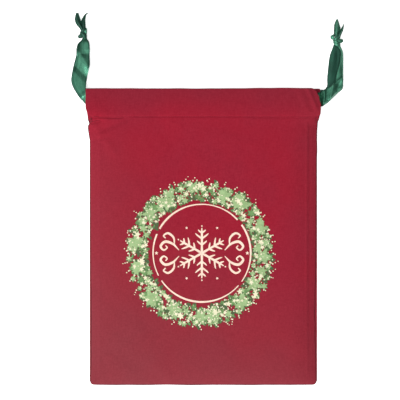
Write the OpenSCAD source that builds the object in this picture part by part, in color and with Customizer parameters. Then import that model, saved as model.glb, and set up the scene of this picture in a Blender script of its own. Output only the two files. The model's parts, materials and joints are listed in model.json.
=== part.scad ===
// Drawstring gift sack, lying flat and empty on its back.
// +X runs across the sack, +Y runs from the bottom seam to the mouth, and +Z is up, out of the printed
// face. The origin is the middle of the back panel's outer face. Millimetres.

/* [Sack] */
// Width between the two side seams
bag_w = 300; // [260:5:340]
// Length from the bottom seam to the mouth
bag_h = 390; // [340:5:440]
// Thickness of the woven cloth, with its nap
cloth_t = 0.6; // [0.5:0.1:0.8]
// Free height between the hems at the mouth
mouth_gap = 4.6; // [4.5:0.1:8]
// Width of the border where the front panel slopes down to its seams
border_w = 22; // [18:1:30]
// Width of the seam allowances turned to the inside
allowance_w = 11; // [8:1:14]
// Radius of the two bottom corners
corner_r = 5; // [2:1:10]

/* [Casing] */
// Height of the drawstring casing at the mouth
casing_h = 36; // [36:1:44]
// How far each end of the casing stands out past its side seam
casing_flare = 4.5; // [2:0.5:8]
// Free height inside the casing
tunnel_gap = 1.8; // [1.8:0.1:2.6]
// How far the hems stop short of the ends of the casing
hem_inset = 12; // [12:1:14]

/* [Ribbon] */
// Width of the satin ribbon
ribbon_w = 16; // [12:1:16]
// Thickness of the satin ribbon
ribbon_t = 0.3; // [0.2:0.1:0.3]
// How far each ribbon can be pulled before the mouth gathers
ribbon_slack = 8; // [4:1:8]

/* [Print] */
// Middle radius of the printed wreath
wreath_r = 84; // [70:1:95]
// Width of the wreath's band of foliage
wreath_band = 24; // [16:1:30]
// Radius of the thin printed ring inside the wreath
ring_r = 65.5; // [45:0.5:66]
// Number of stars printed on the wreath
star_count = 36; // [12:1:48]

/* [Hidden] */

red = "firebrick";
green = "seagreen";
cream = "moccasin";
eps = 0.01;
overlap = 2; // of solids that are joined into one
step_angle = 15; // of the short straight sides that round a polygon's corners

// Levels, from the surface that the sack lies on
back_hem_z = cloth_t + tunnel_gap;
mouth_z = back_hem_z + cloth_t;
front_hem_z = mouth_z + mouth_gap;
front_tunnel_z = front_hem_z + cloth_t;
front_z = front_tunnel_z + tunnel_gap;
top_z = front_z + cloth_t;

// Places across and along the sack
half_w = bag_w / 2;
half_h = bag_h / 2;
casing_y = half_h - casing_h;
casing_x = half_w + casing_flare;
hem_x = casing_x - hem_inset;
hem_turn = 2.5; // width of the hem's turned-under edge
hem_edge_x = half_w - border_w - 1;

// Seams: a thread run lies on the back panel, and the allowance lies on the thread
thread_t = 0.3;
thread_w = 0.6;
casing_thread_t = 0.15;
allowance_z = cloth_t + thread_t;
allowance_t = 1.3;
border_z = allowance_z + allowance_t + thread_t; // underside of the front panel at its seams
rim = 0.1; // height that the panel's cut edge stands clear of its underside
seam_inset = 0.3;
seam_end_y = casing_y - 9; // the side seams stop here, below the casing
tack_w = 3;
tack_h = 6;

// Print
print_x = -2;
print_y = -21;
ink_t = 0.15;
ring_line = 1.7;

// Ribbons: each strand runs on a slight diagonal, so that the two ribbons pass in the casing
ribbon_lift = ribbon_t; // clearance under each ribbon
band_gap = 1.8;
low_band_y = casing_y + 0.8 + ribbon_w / 2;
high_band_y = low_band_y + ribbon_w + band_gap;
mid_band_y = (low_band_y + high_band_y) / 2;
strand_angle = atan((high_band_y - low_band_y) / (2 * casing_x));
strand_rise = front_tunnel_z - cloth_t; // from a ribbon's back strand to its front strand
turn_r = (strand_rise + ribbon_t) / 2;
turn_x = hem_x + ribbon_slack; // a fully pulled ribbon stops with its turn round the ends of the hems
pivot_x = casing_x + 0.8 + ribbon_w / 2;
pivot_y = mid_band_y + pivot_x * tan(strand_angle);
loop_low_z = 0.3;
loop_high_z = 2.1;
long_tail_z = 2.6;
short_tail_z = 3.4;
knot_t = 7.6;

// Routes of the loops from the pivot, and of the tails, as [x, y] relative to the pivot
left_back_route = [[0, 0], [-2.5, 12], [-3.5, 22], [-1.5, 40], [1.5, 56], [4, 69]];
left_front_route = [[0, 0], [-0.5, 12], [0, 22], [2.5, 40], [4, 56], [5, 69]];
left_knot_at = [4.5, 79];
left_long_route = [[3, 89.5], [0, 95], [-3, 101], [-4, 108]];
left_short_route = [[6, 89], [8, 95], [9, 102], [12, 109]];
right_back_route = [[0, 0], [4, 9], [7, 20], [8.5, 38], [10, 52], [11.5, 62]];
right_front_route = [[0, 0], [9, 6], [12.5, 18], [13.5, 38], [13, 52], [12, 62]];
right_knot_at = [12, 72];
right_long_route = [[11, 81.5], [11, 87], [12, 94], [13, 101]];
right_short_route = [[14.5, 82.5], [17, 86], [19.5, 90], [21.5, 94]];
long_tail_widths = [5, 8.5, 8, 3.5];
short_tail_widths = [4.5, 6, 4.5, 2];
loop_widths = [1, 1, 1, 1, 0.8, 0.45]; // as shares of the ribbon's width

function arc_points(centre, r, from, to) =
    let (steps = ceil(abs(to - from) / step_angle))
        [for (i = [0 : steps]) let (a = from + (to - from) * i / steps) centre + r * [cos(a), sin(a)]];

function reversed(list) = [for (i = [len(list) - 1 : -1 : 0]) list[i]];

function direction(route, i) =
    let (a = route[max(i - 1, 0)], b = route[min(i + 1, len(route) - 1)]) (b - a) / norm(b - a);

// One long edge of a flat strip: side is 1 for its left edge and -1 for its right edge
function strip_edge(route, widths, side) =
    [for (i = [0 : len(route) - 1])
        let (d = direction(route, i)) route[i] + side * widths[i] / 2 * [-d[1], d[0]]];

function strip_outline(route, widths) =
    concat(strip_edge(route, widths, -1), reversed(strip_edge(route, widths, 1)));

// A flat strip along a route. With round_start its first end is a half circle about the first point.
module strip(route, widths, z, t, round_start = false) {
    heading = atan2(direction(route, 0)[1], direction(route, 0)[0]);
    start = round_start
        ? arc_points(route[0], widths[0] / 2, heading + 90 + step_angle, heading + 270 - step_angle)
        : [];
    translate([0, 0, z])
        linear_extrude(height = t)
            polygon(concat(start, strip_outline(route, widths)));
}

// A ribbon seen from its edge: it is ribbon_w wide and stands on a side view's route of [along, up] points
module bent_ribbon(route) {
    rotate([90, 0, 0])
        linear_extrude(height = ribbon_w, center = true)
            polygon(strip_outline(route, [for (point = route) ribbon_t]));
}

// Outline of a panel as cut: rounded bottom corners, and the casing standing out past the side seams
function panel_outline() = concat(
    arc_points([-half_w + corner_r, -half_h + corner_r], corner_r, 180, 270),
    arc_points([half_w - corner_r, -half_h + corner_r], corner_r, 270, 360),
    [[half_w, casing_y], [casing_x, casing_y], [casing_x, half_h],
     [-casing_x, half_h], [-casing_x, casing_y], [-half_w, casing_y]]
);

// Solid with a flat top and three sloping sides, which pass through edge_z above the panel's edges and run
// on by margin to a flat foot. Its fourth side, at end_y, is plumb.
module dome(top, edge_z, margin, foot, end_y) {
    low = edge_z - margin * (top - edge_z) / border_w;
    intersection() {
        rotate([90, 0, 0])
            linear_extrude(height = 2 * bag_h, center = true)
                polygon([[-half_w - margin, foot], [-half_w - margin, low], [-half_w + border_w, top],
                         [half_w - border_w, top], [half_w + margin, low], [half_w + margin, foot]]);
        rotate([90, 0, 90])
            linear_extrude(height = 2 * bag_w, center = true)
                polygon([[-half_h - margin, foot], [-half_h - margin, low],
                         [-half_h + border_w, top], [end_y, top], [end_y, foot]]);
    }
}

module back_panel() {
    color(red)
        linear_extrude(height = cloth_t) polygon(panel_outline());
}

module front_panel() {
    color(red) {
        difference() {
            dome(top_z, border_z + cloth_t, 0, border_z + rim, casing_y);
            dome(front_z, border_z, 2, border_z - 2, casing_y + overlap);
        }
        translate([-casing_x, casing_y - overlap, front_z])
            cube([2 * casing_x, casing_h + overlap, cloth_t]);
    }
}

// A hem is cut in one with its panel: it folds inwards at the mouth and is stitched down below the casing.
module hem(z) {
    color(red)
        translate([-hem_x, casing_y, z])
            cube([2 * hem_x, casing_h, cloth_t]);
}

// The hem's turned-under edge, which lies between the hem and the panel at the stitches
module hem_edge(z) {
    color(red)
        translate([-hem_edge_x, casing_y - hem_turn, z])
            cube([2 * hem_edge_x, hem_turn, tunnel_gap + cloth_t]);
}

// The cloth that turns over from the panel to its hem
module mouth_fold(z) {
    color(red)
        translate([-hem_x, half_h - cloth_t, z])
            cube([2 * hem_x, cloth_t, tunnel_gap]);
}

// side is -1 for the left seam and 1 for the right seam
module side_seam(side) {
    seam_x = side * (half_w - seam_inset - allowance_w / 2);
    color(red)
        translate([seam_x, (seam_end_y - half_h) / 2, allowance_z + allowance_t / 2])
            cube([allowance_w, half_h + seam_end_y - 2 * corner_r, allowance_t], center = true);
}

module bottom_seam() {
    length = bag_w - 2 * (allowance_w + seam_inset + 0.5);
    color(red)
        translate([-length / 2, -half_h + seam_inset, allowance_z])
            cube([length, allowance_w, allowance_t]);
}

module side_seam_thread(side) {
    color("darkred")
        translate([side * (half_w - 1), (seam_end_y - half_h) / 2, cloth_t + thread_t / 2])
            cube([thread_w, half_h + seam_end_y - 2 * corner_r, thread_t], center = true);
}

module bottom_seam_thread() {
    length = bag_w - 4 * corner_r;
    color("darkred")
        translate([-length / 2, -half_h + 1, cloth_t])
            cube([length, thread_w, thread_t]);
}

module casing_thread(z) {
    color("darkred")
        translate([-hem_x + 1, casing_y - hem_turn / 2 - thread_w / 2, z])
            cube([2 * hem_x - 2, thread_w, casing_thread_t]);
}

// Dense stitches that stop each side seam from opening
module bar_tack(side) {
    color("darkred")
        translate([side * (half_w - tack_w / 2) - tack_w / 2, seam_end_y + 0.5, cloth_t])
            cube([tack_w, tack_h, border_z - cloth_t - seam_inset]);
}

// Edge of the foliage at angle a: swing is how far its sprigs reach, and phase turns them
function foliage_r(r, a, swing, phase) =
    r + swing * (0.6 * sin(9 * a + phase) + 0.4 * sin(23 * a - phase));

function foliage_edge(r, swing, phase) =
    [for (a = [0 : 3 : 357]) foliage_r(r, a, swing, phase) * [cos(a), sin(a)]];

module print_at(z) {
    translate([print_x, print_y, z]) children();
}

module print_wreath() {
    color("darkseagreen")
        print_at(top_z)
            linear_extrude(height = ink_t)
                difference() {
                    polygon(foliage_edge(wreath_r + wreath_band / 2, 3, 20));
                    polygon(foliage_edge(wreath_r - wreath_band / 2, 1.2, 80));
                }
}

module star(r) {
    polygon([for (i = [0 : 9]) (i % 2 == 0 ? r : 0.45 * r) * [cos(36 * i), sin(36 * i)]]);
}

module print_stars() {
    color(cream)
        print_at(top_z + ink_t)
            linear_extrude(height = ink_t)
                for (i = [0 : star_count - 1])
                    rotate(i * 360 / star_count)
                        translate([wreath_r + 5 * (i % 3 - 1), 0])
                            rotate(47 * i)
                                star(2.6 + 0.7 * (i % 4));
}

module print_ring() {
    color(cream)
        print_at(top_z)
            difference() {
                cylinder(h = ink_t, r = ring_r + ring_line / 2, $fn = 96);
                translate([0, 0, -eps]) cylinder(h = ink_t + 2 * eps, r = ring_r - ring_line / 2, $fn = 96);
            }
}

// A six-armed snowflake, with two pairs of branches on each arm
module print_motif() {
    arm = 0.56 * ring_r;
    line = 2.2;
    color(cream)
        print_at(top_z)
            linear_extrude(height = ink_t)
                union() {
                    circle(r = 3 * line, $fn = 48);
                    for (a = [0 : 60 : 300])
                        rotate(a) {
                            translate([0, -line / 2]) square([arm, line]);
                            for (share = [0.45, 0.72], turn = [-60, 60])
                                translate([share * arm, 0])
                                    rotate(turn)
                                        translate([0, -line / 2])
                                            square([(1.1 - share) * arm * 0.55, line]);
                        }
                }
}

// The left ribbon in the casing runs down to the right. The right ribbon is its mirror image, one layer
// higher.
module in_casing(level) {
    translate([0, mid_band_y, cloth_t + ribbon_lift + level * (ribbon_t + ribbon_lift)])
        rotate([0, 0, -strand_angle])
            children();
}

// Side views of a ribbon's strands. Each turn is parted a little at its outermost point.
turn_part = 2.5;
exit_x = casing_x + 1;
function turn_points(x, from, to) = arc_points([x, turn_r], turn_r - ribbon_t / 2, from, to);
back_strand_side = concat([[-pivot_x, ribbon_t / 2]], turn_points(turn_x, 270, 360 - turn_part));
front_strand_side = concat(turn_points(turn_x, turn_part, 90), turn_points(-exit_x, 90, 180 - turn_part));

module back_strand(level) {
    color(green)
        in_casing(level) {
            strip([[-pivot_x, 0], [overlap - pivot_x, 0]], [ribbon_w, ribbon_w], 0, ribbon_t, true);
            bent_ribbon(back_strand_side);
        }
}

module front_strand(level) {
    color(green)
        in_casing(level)
            bent_ribbon(front_strand_side);
}

module at_pivot(side) {
    translate([side * pivot_x, pivot_y, 0]) children();
}

module loop_strand(side, route, z) {
    color(green)
        at_pivot(side)
            strip(route, loop_widths * ribbon_w, z, ribbon_t, true);
}

// A tight overhand knot, wider across the ribbon than it is thick
module knot(side, at) {
    r = knot_t / 2;
    color(green)
        at_pivot(side)
            translate([at[0], at[1], loop_low_z + r])
                hull()
                    for (x = [-2.6, 2.6], y = [-5.8, 5.8])
                        translate([x + 0.08 * y, y, 0]) sphere(r = r - 0.1 * abs(y), $fn = 24);
}

module tail(side, route, widths, z) {
    color(green)
        at_pivot(side)
            strip(route, widths, z, ribbon_t);
}

module mirrored() {
    mirror([1, 0, 0]) children();
}

back_panel();
hem(back_hem_z);  // back_hem
hem_edge(cloth_t);  // back_hem_edge
mouth_fold(cloth_t);  // back_mouth_fold
front_panel();
hem(front_hem_z);  // front_hem
hem_edge(front_hem_z);  // front_hem_edge
mouth_fold(front_tunnel_z);  // front_mouth_fold
side_seam(-1);  // left_side_seam
side_seam(1);  // right_side_seam
bottom_seam();
side_seam_thread(-1);  // left_seam_thread
side_seam_thread(1);  // right_seam_thread
bottom_seam_thread();
casing_thread(mouth_z);  // back_casing_thread
casing_thread(top_z);  // front_casing_thread
bar_tack(-1);  // left_bar_tack
bar_tack(1);  // right_bar_tack
print_wreath();
print_stars();
print_ring();
print_motif();
back_strand(0);  // left_ribbon_back_strand
front_strand(0);  // left_ribbon_front_strand
loop_strand(-1, left_back_route, loop_low_z);  // left_loop_back_strand
loop_strand(-1, left_front_route, loop_high_z);  // left_loop_front_strand
knot(-1, left_knot_at);  // left_knot
tail(-1, left_long_route, long_tail_widths, long_tail_z);  // left_long_tail
tail(-1, left_short_route, short_tail_widths, short_tail_z);  // left_short_tail
mirrored() back_strand(1);  // right_ribbon_back_strand
mirrored() front_strand(1);  // right_ribbon_front_strand
loop_strand(1, right_back_route, loop_low_z);  // right_loop_back_strand
loop_strand(1, right_front_route, loop_high_z);  // right_loop_front_strand
knot(1, right_knot_at);  // right_knot
tail(1, right_long_route, long_tail_widths, long_tail_z);  // right_long_tail
tail(1, right_short_route, short_tail_widths, short_tail_z);  // right_short_tail
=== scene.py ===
import json
import math
import random

import bpy
import numpy as np
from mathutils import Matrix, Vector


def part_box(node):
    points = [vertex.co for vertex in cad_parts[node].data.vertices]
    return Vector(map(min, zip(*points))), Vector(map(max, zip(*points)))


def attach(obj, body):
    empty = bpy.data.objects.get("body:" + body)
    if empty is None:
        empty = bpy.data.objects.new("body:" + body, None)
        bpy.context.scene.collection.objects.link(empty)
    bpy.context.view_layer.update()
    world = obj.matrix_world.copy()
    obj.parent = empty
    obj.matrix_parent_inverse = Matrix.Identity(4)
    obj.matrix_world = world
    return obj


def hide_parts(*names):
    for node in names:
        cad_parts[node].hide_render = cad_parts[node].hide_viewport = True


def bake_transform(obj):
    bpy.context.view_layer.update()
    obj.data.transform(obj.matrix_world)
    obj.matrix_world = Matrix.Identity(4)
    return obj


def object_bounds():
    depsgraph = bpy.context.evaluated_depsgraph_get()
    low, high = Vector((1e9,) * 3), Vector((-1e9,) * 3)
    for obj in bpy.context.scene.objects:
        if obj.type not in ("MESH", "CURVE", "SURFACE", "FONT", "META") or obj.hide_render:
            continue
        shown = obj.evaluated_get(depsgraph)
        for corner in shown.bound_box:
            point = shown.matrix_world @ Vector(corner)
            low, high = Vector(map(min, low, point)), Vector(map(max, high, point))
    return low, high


# Looks of the drawstring gift sack: its cloth, seams, print and satin ribbons, built around the CAD frame.
# Metres. +X runs across the sack, +Y from the bottom seam to the mouth, +Z up out of the printed front.
# Values that are easier to read in millimetres carry the factor MM.

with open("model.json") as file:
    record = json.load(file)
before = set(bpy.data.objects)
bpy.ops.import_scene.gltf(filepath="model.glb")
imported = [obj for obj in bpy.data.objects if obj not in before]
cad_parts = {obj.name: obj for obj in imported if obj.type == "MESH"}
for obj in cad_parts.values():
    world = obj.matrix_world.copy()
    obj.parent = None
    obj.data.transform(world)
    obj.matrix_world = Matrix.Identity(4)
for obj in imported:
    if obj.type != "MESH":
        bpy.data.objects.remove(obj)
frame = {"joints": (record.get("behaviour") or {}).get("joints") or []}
cad_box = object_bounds()

MM = 0.001

# ---------------------------------------------------------------- places and levels, from the frame

back_low, back_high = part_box("back_panel")
front_low, front_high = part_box("front_panel")
hem_low, hem_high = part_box("back_hem")
ring_low, ring_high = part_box("print_ring")
wreath_low, wreath_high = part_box("print_wreath")
thread_low, thread_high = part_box("front_casing_thread")
left_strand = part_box("left_ribbon_back_strand")
right_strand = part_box("right_ribbon_back_strand")

HALF_H = back_high.y
CASING_X = back_high.x
CASING_Y = hem_low.y
CLOTH_T = back_high.z
HEM_X = hem_high.x
STITCH_Y = (thread_low.y + thread_high.y) / 2
SEAM_TOP_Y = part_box("left_side_seam")[1].y
ALLOWANCE_LOW_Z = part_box("left_side_seam")[0].z
ALLOWANCE_HIGH_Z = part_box("left_side_seam")[1].z
SEAM_TOP_Z = front_low.z + CLOTH_T  # outer face of the front cloth at the seams
FRONT_Z = front_high.z
PRINT_X = (ring_low.x + ring_high.x) / 2
PRINT_Y = (ring_low.y + ring_high.y) / 2
RING_R = (ring_high.x - ring_low.x) / 2
WREATH_R = (wreath_high.x - wreath_low.x) / 2
WREATH_OFF = (-2.4 * MM, -0.6 * MM)  # the wreath was printed a little off the ring's middle
RIBBON_T = 0.3 * MM
RIBBON_W = 16 * MM
MID_BAND_Y = (left_strand[0].y + left_strand[1].y) / 2  # middle of the band that both ribbons run in

PIVOTS = {j["child"]: j["pos_m"] for j in frame["joints"] if j["name"].endswith("_loop_swing")}


# ---------------------------------------------------------------- small mathematics

def smoothstep(low, high, x):
    t = np.clip((x - low) / (high - low), 0, 1)
    return t * t * (3 - 2 * t)


def mix(a, b, share):
    return a + (b - a) * share


def eased(at, knots):
    """The value at a place, easing from one given (place, value) knot to the next."""
    places, values = np.array(knots).T * MM
    i = np.clip(np.searchsorted(places, at) - 1, 0, len(places) - 2)
    return mix(values[i], values[i + 1], smoothstep(places[i], places[i + 1], at))


def ripples(x, y, length, seed, waves=7):
    """Soft irregular waves of about the given wavelength, between about -1 and 1."""
    chance = random.Random(seed)
    total = 0
    for _ in range(waves):
        angle = chance.uniform(0, 2 * math.pi)
        k = 2 * math.pi / (length * chance.uniform(0.7, 1.6))
        total = total + np.sin(k * (x * math.cos(angle) + y * math.sin(angle)) +
                               chance.uniform(0, 2 * math.pi))
    return total / math.sqrt(waves) / 1.5


def spline(points, count):
    """Catmull-Rom curve through points, which are stacked along the first axis, in count even steps."""
    points = np.asarray(points, float)
    ends = np.concatenate([2 * points[:1] - points[1:2], points, 2 * points[-1:] - points[-2:-1]])
    t = np.linspace(0, len(points) - 1, count)
    i = np.minimum(t.astype(int), len(points) - 2)
    f = (t - i).reshape(-1, *[1] * (points.ndim - 1))
    a, b, c, d = (ends[i + k] for k in range(4))
    return 0.5 * (2 * b + (c - a) * f + (2 * a - 5 * b + 4 * c - d) * f**2 + (3 * b - a - 3 * c + d) * f**3)


def loft(controls, along, across):
    """A smooth grid of points through a coarse grid of control points [along, across, xyz]."""
    return spline(spline(controls, along).swapaxes(0, 1), across).swapaxes(0, 1)


def headings(path):
    """Unit vectors along a path of points."""
    along = np.gradient(path, axis=0)
    return along / np.linalg.norm(along, axis=1, keepdims=True)


def leftward(path):
    """Unit vectors to the left of a flat path."""
    along = headings(path)
    return np.stack([-along[:, 1], along[:, 0]], axis=1)


def along_line(x, y, start, end):
    """How far x, y lies along a line given in millimetres, how far to its left, and the line's length."""
    (ax, ay), (bx, by) = np.array(start) * MM, np.array(end) * MM
    length = math.hypot(bx - ax, by - ay)
    ux, uy = (bx - ax) / length, (by - ay) / length
    return (x - ax) * ux + (y - ay) * uy, (x - ax) * -uy + (y - ay) * ux, length


def crease(x, y, start, end, height, width):
    """A soft ridge, or a valley where height is negative, along the line from start to end. Millimetres."""
    t, off, length = along_line(x, y, start, end)
    beyond = np.maximum(np.maximum(-t, t - length), 0) * 0.5
    return height * MM * np.exp(-(off**2 + beyond**2) / (width * MM) ** 2)


def fold(x, y, start, end, height, right, left):
    """A sharp fold along a line, which comes down over the given reach on each side. Millimetres."""
    t, off, length = along_line(x, y, start, end)
    share = np.clip(1 - np.where(off < 0, -off / (right * MM), off / (left * MM)), 0, 1)
    ends = smoothstep(-6 * MM, 5 * MM, t) * smoothstep(length + 6 * MM, length - 5 * MM, t)
    return height * MM * share * ends


# ---------------------------------------------------------------- meshes

def add_piece(name, points, faces, material, uv=None, sharp=50):
    mesh = bpy.data.meshes.new(name)
    mesh.from_pydata([tuple(p) for p in points], [], [tuple(f) for f in faces])
    mesh.materials.append(material)
    if uv is not None:
        corner_points = np.empty(len(mesh.loops), np.int32)
        mesh.loops.foreach_get("vertex_index", corner_points)
        layer = mesh.uv_layers.new(name="cut")
        layer.data.foreach_set("uv", np.asarray(uv, np.float32)[corner_points].ravel())
    mesh.polygons.foreach_set("use_smooth", np.ones(len(mesh.polygons), bool))
    mesh.set_sharp_from_angle(angle=math.radians(sharp))
    obj = bpy.data.objects.new(name, mesh)
    bpy.context.scene.collection.objects.link(obj)
    return obj


def run_lengths(points):
    steps = np.linalg.norm(np.diff(points, axis=0), axis=1)
    return np.concatenate([[0], np.cumsum(steps)])


def cloth_piece(name, mid, thickness, material, reverse=None):
    """A closed sheet about a grid of points [along, across, xyz]. Its UVs are places on the flat cut, in metres.

    reverse is the material of its other side.
    """
    rows, cols = mid.shape[:2]
    normal = np.cross(np.gradient(mid, axis=1), np.gradient(mid, axis=0))
    normal /= np.maximum(np.linalg.norm(normal, axis=2, keepdims=True), 1e-12)
    half = normal * thickness / 2
    points = np.concatenate([(mid + half).reshape(-1, 3), (mid - half).reshape(-1, 3)])
    n = rows * cols
    index = np.arange(n).reshape(rows, cols)
    quads = np.stack([index[:-1, :-1], index[:-1, 1:], index[1:, 1:], index[1:, :-1]], axis=2).reshape(-1, 4)
    border = np.concatenate([index[0, :-1], index[:-1, -1], index[-1, :0:-1], index[:0:-1, 0]])
    following = np.roll(border, -1)
    rim = np.stack([border, border + n, following + n, following], axis=1)
    faces = np.concatenate([quads, quads[:, ::-1] + n, rim])
    u = run_lengths(mid[rows // 2])
    v = run_lengths(mid[:, cols // 2])
    flat = np.stack(np.meshgrid(u - u[-1] / 2, v), axis=2).reshape(-1, 2)
    piece = add_piece(name, points, faces, material, np.concatenate([flat, flat]))
    if reverse is not None:
        piece.data.materials.append(reverse)
        piece.data.polygons.foreach_set("material_index",
                                        (np.arange(len(faces)) >= len(quads)).astype(np.int32))
    return piece


def tube_piece(name, paths, radius, material, sides=6):
    """Round threads, one along each path, with closed ends."""
    points, faces = [], []
    for path in paths:
        path = np.asarray(path, float)
        along = headings(path)
        side = np.cross(along, [0.13, 0.21, 0.97])
        side /= np.maximum(np.linalg.norm(side, axis=1, keepdims=True), 1e-9)
        up = np.cross(side, along)
        base = len(points)
        for i, centre in enumerate(path):
            r = radius * (0.55 if i in (0, len(path) - 1) else 1)
            for k in range(sides):
                a = 2 * math.pi * k / sides
                points.append(centre + r * (math.cos(a) * side[i] + math.sin(a) * up[i]))
        for i in range(len(path) - 1):
            for k in range(sides):
                a, b = base + i * sides + k, base + i * sides + (k + 1) % sides
                faces.append((a, b, b + sides, a + sides))
        last = base + (len(path) - 1) * sides
        faces.append(tuple(range(base + sides - 1, base - 1, -1)))
        faces.append(tuple(range(last, last + sides)))
    return add_piece(name, points, faces, material, sharp=70)


# ---------------------------------------------------------------- materials

def new_material(name):
    material = bpy.data.materials.new(name)
    material.use_nodes = True
    return material.node_tree, material.node_tree.nodes["Principled BSDF"], material


def feed(tree, made, inputs):
    """Sets a node's inputs. Each is a value or another node's output."""
    for key, value in inputs.items():
        if isinstance(value, bpy.types.NodeSocket):
            tree.links.new(value, made.inputs[key])
        else:
            made.inputs[key].default_value = value


def node(tree, kind, inputs, **settings):
    made = tree.nodes.new("ShaderNode" + kind)
    for key, value in settings.items():
        setattr(made, key, value)
    feed(tree, made, inputs)
    return made


def maths(tree, operation, a, b=0.0):
    return node(tree, "Math", {0: a, 1: b}, operation=operation).outputs[0]


def times(tree, a, b):
    return maths(tree, "MULTIPLY", a, b)


def plus(tree, a, b):
    return maths(tree, "ADD", a, b)


def noise_of(tree, vector, stretch, detail=3.0, roughness=0.5):
    """Noise on a stretched vector: stretch is how many features there are per metre each way."""
    scaled = node(tree, "Mapping", {"Vector": vector, "Scale": stretch}).outputs[0]
    made = node(tree, "TexNoise", {"Vector": scaled, "Scale": 1.0, "Detail": detail, "Roughness": roughness})
    return made.outputs["Fac"]


def ranged(tree, value, low, high, to_low=0.0, to_high=1.0):
    made = node(tree, "MapRange", {0: value, 1: low, 2: high, 3: to_low, 4: to_high},
                interpolation_type="SMOOTHSTEP")
    return made.outputs[0]


def colour_mix(tree, share, a, b):
    return node(tree, "Mix", {0: share, 6: a, 7: b}, data_type="RGBA").outputs[2]


def colour(r, g, b):
    """A colour given as it looks on a screen, 0 to 255 each, in the linear values that shaders take."""
    shares = [c / 255 for c in (r, g, b)]
    return (*[c / 12.92 if c <= 0.04045 else ((c + 0.055) / 1.055) ** 2.4 for c in shares], 1.0)


def weave_height(tree, u, v, pitch):
    """The over and under of a plain weave of the given thread pitch, 0 to 1."""
    across = maths(tree, "SINE", times(tree, u, 2 * math.pi / pitch))
    along = maths(tree, "SINE", times(tree, v, 2 * math.pi / pitch))
    return maths(tree, "MULTIPLY_ADD", times(tree, across, along), 0.5)


def bumped(tree, height, strength, distance):
    return node(tree, "Bump", {"Height": height, "Strength": strength, "Distance": distance}).outputs[0]


def cloth_material():
    """Red plain-weave cloth: uneven threads, a soft nap, painted shade on rolled edges, on the right side and
    from the stitch line up to the mouth, and painted light on the left side and painted sheen to the bottom
    left.
    """
    tree, shader, material = new_material("red_cloth_weave")
    cut = node(tree, "TexCoord", {}).outputs["UV"]
    place = node(tree, "TexCoord", {}).outputs["Object"]
    u, v, _ = node(tree, "SeparateXYZ", {0: cut}).outputs
    x, y, _ = node(tree, "SeparateXYZ", {0: place}).outputs
    warp = noise_of(tree, cut, (1500, 90, 1), 2.0)
    weft = noise_of(tree, cut, (90, 1500, 1), 2.0)
    nap = noise_of(tree, place, (420, 420, 420), 3.0, 0.6)
    cloud = noise_of(tree, place, (13, 13, 13), 3.0)
    slanted = plus(tree, times(tree, x, 0.45), y)
    # Masks of painted light and shade: painted sheen to the bottom left, painted light on the left side, painted
    # shade on the right side and from the stitch line up to the mouth
    painted_sheen = times(tree, ranged(tree, slanted, 0.05, -0.25), ranged(tree, cloud, 0.15, 0.62, 0.8, 1.0))
    painted_light_left = times(tree, ranged(tree, x, -0.03, -0.155), ranged(tree, y, 0.17, 0.08))
    painted_shade_right = ranged(tree, x, 0.105, 0.152)
    casing = ranged(tree, y, STITCH_Y - 2 * MM, HALF_H)
    red = colour_mix(tree, ranged(tree, cloud, 0.32, 0.68), colour(143, 20, 40), colour(137, 24, 43))
    # the painted light, sheen and shade mixed into the red
    red = colour_mix(tree, times(tree, painted_light_left, 0.3), red, colour(126, 46, 54))
    red = colour_mix(tree, painted_sheen, red, colour(122, 48, 55))
    red = colour_mix(tree, times(tree, painted_shade_right, 0.4), red, colour(120, 32, 44))
    red = colour_mix(tree, times(tree, casing, 0.5), red, colour(112, 26, 40))
    threads = plus(tree, warp, weft)
    red = colour_mix(tree, ranged(tree, threads, 0.75, 1.3, 0.0, 0.09), red, colour(190, 70, 86))
    red = colour_mix(tree, ranged(tree, nap, 0.3, 0.75, 0.0, 0.16), red, colour(88, 8, 22))
    # painted shade where the cloth rolls over at its edges
    red = colour_mix(tree, rolled_edge_shade(tree, 0.9, 0.5), red, colour(48, 6, 14))
    weave = weave_height(tree, u, v, 0.5 * MM)
    height = plus(tree, times(tree, threads, 0.7), times(tree, weave, 0.6))
    feed(tree, shader, {"Base Color": red, "Normal": bumped(tree, height, 0.45, 0.2 * MM),
                        "Roughness": ranged(tree, nap, 0.2, 0.8, 0.8, 0.97), "Specular IOR Level": 0.12,
                        "Sheen Weight": 0.06, "Sheen Roughness": 0.45, "Sheen Tint": (1.0, 0.6, 0.64, 1.0)})
    return material


def rolled_edge_shade(tree, start, end):
    """1 where a surface has turned from level to upright, as cloth does at a folded edge, and 0 elsewhere. It
    masks painted shade.
    """
    normal = node(tree, "NewGeometry", {}).outputs["Normal"]
    upward = maths(tree, "ABSOLUTE", node(tree, "SeparateXYZ", {0: normal}).outputs[2])
    return ranged(tree, upward, start, end)


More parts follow.
